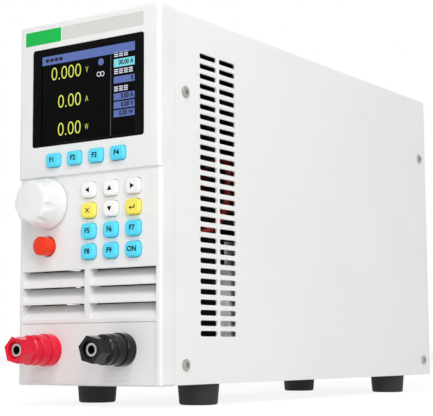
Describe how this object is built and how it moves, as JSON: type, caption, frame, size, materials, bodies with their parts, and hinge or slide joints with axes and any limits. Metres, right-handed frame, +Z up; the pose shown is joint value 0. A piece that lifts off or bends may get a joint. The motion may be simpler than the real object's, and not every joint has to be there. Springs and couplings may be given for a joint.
{
  "type": "dc electronic load",
  "caption": "Narrow upright bench electronic load: sheet cover, moulded louvred panel with display, soft keys, keypad, encoder knob, power button and red and black screw-cap terminal posts.",
  "frame": {"origin": "floor level under the middle of the overall box, feet standing on z = 0", "axes": "+Z up, the panel faces -Y, +X to the right seen from the front"},
  "size_m": [0.0876, 0.3056, 0.1847],
  "materials": {
    "panel_white": "fine moulded satin",
    "cover_white": "satin powder coat",
    "zinc_sheet": "zinc-plated sheet",
    "foot_rubber": "matt black rubber",
    "screw_steel": "nickel-plated steel",
    "surround_black": "gloss black",
    "display_glass": "dark display glass",
    "board_green": "solder mask",
    "moulded_black": "satin black",
    "key_blue": "light blue moulding",
    "key_white": "white moulding",
    "key_yellow": "yellow moulding",
    "shaft_metal": "turned",
    "knob_white": "white moulding",
    "button_red": "red-orange moulding",
    "post_red": "red moulding",
    "post_black": "black moulding",
    "socket_nickel": "nickel-plated brass",
    "lead_red": "wire insulation",
    "lead_black": "wire insulation",
    "sink_aluminium": "dark anodised extrusion",
    "component_grey": "sleeves and cases",
    "core_steel": "steel core and band",
    "terminal_green": "green moulding"
  },
  "bodies": {
    "housing": {"base_tray": "zinc_sheet", "black_lead": "lead_black", "black_post_base": "post_black", "black_post_stud": "socket_nickel", "board_components": "component_grey", "board_screws": "screw_steel", "board_standoffs": "socket_nickel", "cover_screws": "screw_steel", "display_module": "display_glass", "display_surround": "surround_black", "encoder_body": "screw_steel", "encoder_nut": "screw_steel", "fan_frame": "moulded_black", "fan_guard": "screw_steel", "fan_screws": "screw_steel", "foot_screws": "screw_steel", "front_bezel": "panel_white", "front_board": "board_green", "heatsink": "sink_aluminium", "key_switches": "moulded_black", "main_board": "board_green", "mains_inlet": "moulded_black", "outer_cover": "cover_white", "post_lugs": "socket_nickel", "post_nuts": "screw_steel", "power_switch": "moulded_black", "power_transistors": "moulded_black", "rear_panel": "zinc_sheet", "red_lead": "lead_red", "red_post_base": "post_red", "red_post_stud": "socket_nickel", "rubber_feet": "foot_rubber", "sense_terminal": "terminal_green", "serial_port": "screw_steel", "transformer": "core_steel"},
    "soft_key_1_body": {"soft_key_1": "key_blue"},
    "soft_key_2_body": {"soft_key_2": "key_blue"},
    "soft_key_3_body": {"soft_key_3": "key_blue"},
    "soft_key_4_body": {"soft_key_4": "key_blue"},
    "left_key_body": {"left_key": "key_white"},
    "up_key_body": {"up_key": "key_white"},
    "right_key_body": {"right_key": "key_white"},
    "down_key_body": {"down_key": "key_white"},
    "cancel_key_body": {"cancel_key": "key_yellow"},
    "confirm_key_body": {"confirm_key": "key_yellow"},
    "blue_key_1_body": {"blue_key_1": "key_blue"},
    "blue_key_2_body": {"blue_key_2": "key_blue"},
    "blue_key_3_body": {"blue_key_3": "key_blue"},
    "blue_key_4_body": {"blue_key_4": "key_blue"},
    "blue_key_5_body": {"blue_key_5": "key_blue"},
    "blue_key_6_body": {"blue_key_6": "key_blue"},
    "power_button_body": {"power_button": "button_red"},
    "knob_body": {"knob": "knob_white", "encoder_shaft": "shaft_metal"},
    "fan_body": {"fan_rotor": "moulded_black"},
    "red_washer_body": {"red_clamp_washer": "screw_steel"},
    "red_cap_body": {"red_post_cap": "post_red"},
    "black_washer_body": {"black_clamp_washer": "screw_steel"},
    "black_cap_body": {"black_post_cap": "post_black"}
  },
  "joints": [
    {"name": "soft_key_1_press", "type": "slide", "parent": "housing", "child": "soft_key_1_body", "axis": [0, 1, 0], "range_m": [0, 0.0005], "stiffness_N_per_m": 1500, "springref_m": -0.0004},
    {"name": "soft_key_2_press", "type": "slide", "parent": "housing", "child": "soft_key_2_body", "axis": [0, 1, 0], "range_m": [0, 0.0005], "stiffness_N_per_m": 1500, "springref_m": -0.0004},
    {"name": "soft_key_3_press", "type": "slide", "parent": "housing", "child": "soft_key_3_body", "axis": [0, 1, 0], "range_m": [0, 0.0005], "stiffness_N_per_m": 1500, "springref_m": -0.0004},
    {"name": "soft_key_4_press", "type": "slide", "parent": "housing", "child": "soft_key_4_body", "axis": [0, 1, 0], "range_m": [0, 0.0005], "stiffness_N_per_m": 1500, "springref_m": -0.0004},
    {"name": "left_key_press", "type": "slide", "parent": "housing", "child": "left_key_body", "axis": [0, 1, 0], "range_m": [0, 0.0005], "stiffness_N_per_m": 1500, "springref_m": -0.0004},
    {"name": "up_key_press", "type": "slide", "parent": "housing", "child": "up_key_body", "axis": [0, 1, 0], "range_m": [0, 0.0005], "stiffness_N_per_m": 1500, "springref_m": -0.0004},
    {"name": "right_key_press", "type": "slide", "parent": "housing", "child": "right_key_body", "axis": [0, 1, 0], "range_m": [0, 0.0005], "stiffness_N_per_m": 1500, "springref_m": -0.0004},
    {"name": "down_key_press", "type": "slide", "parent": "housing", "child": "down_key_body", "axis": [0, 1, 0], "range_m": [0, 0.0005], "stiffness_N_per_m": 1500, "springref_m": -0.0004},
    {"name": "cancel_key_press", "type": "slide", "parent": "housing", "child": "cancel_key_body", "axis": [0, 1, 0], "range_m": [0, 0.0005], "stiffness_N_per_m": 1500, "springref_m": -0.0004},
    {"name": "confirm_key_press", "type": "slide", "parent": "housing", "child": "confirm_key_body", "axis": [0, 1, 0], "range_m": [0, 0.0005], "stiffness_N_per_m": 1500, "springref_m": -0.0004},
    {"name": "blue_key_1_press", "type": "slide", "parent": "housing", "child": "blue_key_1_body", "axis": [0, 1, 0], "range_m": [0, 0.0005], "stiffness_N_per_m": 1500, "springref_m": -0.0004},
    {"name": "blue_key_2_press", "type": "slide", "parent": "housing", "child": "blue_key_2_body", "axis": [0, 1, 0], "range_m": [0, 0.0005], "stiffness_N_per_m": 1500, "springref_m": -0.0004},
    {"name": "blue_key_3_press", "type": "slide", "parent": "housing", "child": "blue_key_3_body", "axis": [0, 1, 0], "range_m": [0, 0.0005], "stiffness_N_per_m": 1500, "springref_m": -0.0004},
    {"name": "blue_key_4_press", "type": "slide", "parent": "housing", "child": "blue_key_4_body", "axis": [0, 1, 0], "range_m": [0, 0.0005], "stiffness_N_per_m": 1500, "springref_m": -0.0004},
    {"name": "blue_key_5_press", "type": "slide", "parent": "housing", "child": "blue_key_5_body", "axis": [0, 1, 0], "range_m": [0, 0.0005], "stiffness_N_per_m": 1500, "springref_m": -0.0004},
    {"name": "blue_key_6_press", "type": "slide", "parent": "housing", "child": "blue_key_6_body", "axis": [0, 1, 0], "range_m": [0, 0.0005], "stiffness_N_per_m": 1500, "springref_m": -0.0004},
    {"name": "power_button_press", "type": "slide", "parent": "housing", "child": "power_button_body", "axis": [0, 1, 0], "range_m": [0, 0.0025], "stiffness_N_per_m": 800, "springref_m": -0.001},
    {"name": "knob_turn", "type": "hinge", "parent": "housing", "child": "knob_body", "pos_m": [-0.0243, -0.12925, 0.09573], "axis": [0, 1, 0], "continuous": true},
    {"name": "fan_spin", "type": "hinge", "parent": "housing", "child": "fan_body", "pos_m": [0, 0.13575, 0.1276], "axis": [0, 1, 0], "continuous": true},
    {"name": "red_cap_travel", "type": "slide", "parent": "housing", "child": "red_washer_body", "axis": [0, -1, 0], "range_m": [0, 0.005]},
    {"name": "red_cap_turn", "type": "hinge", "parent": "red_washer_body", "child": "red_cap_body", "pos_m": [-0.0231, -0.14425, 0.0262], "axis": [0, -1, 0], "range_deg": [0, 1800]},
    {"name": "black_cap_travel", "type": "slide", "parent": "housing", "child": "black_washer_body", "axis": [0, -1, 0], "range_m": [0, 0.005]},
    {"name": "black_cap_turn", "type": "hinge", "parent": "black_washer_body", "child": "black_cap_body", "pos_m": [0.0215, -0.14425, 0.0262], "axis": [0, -1, 0], "range_deg": [0, 1800]}
  ],
  "couplings": [
    {"joint": "red_cap_turn", "follows": "red_cap_travel", "rad_per_m": 6283.2},
    {"joint": "black_cap_turn", "follows": "black_cap_travel", "rad_per_m": 6283.2}
  ]
}
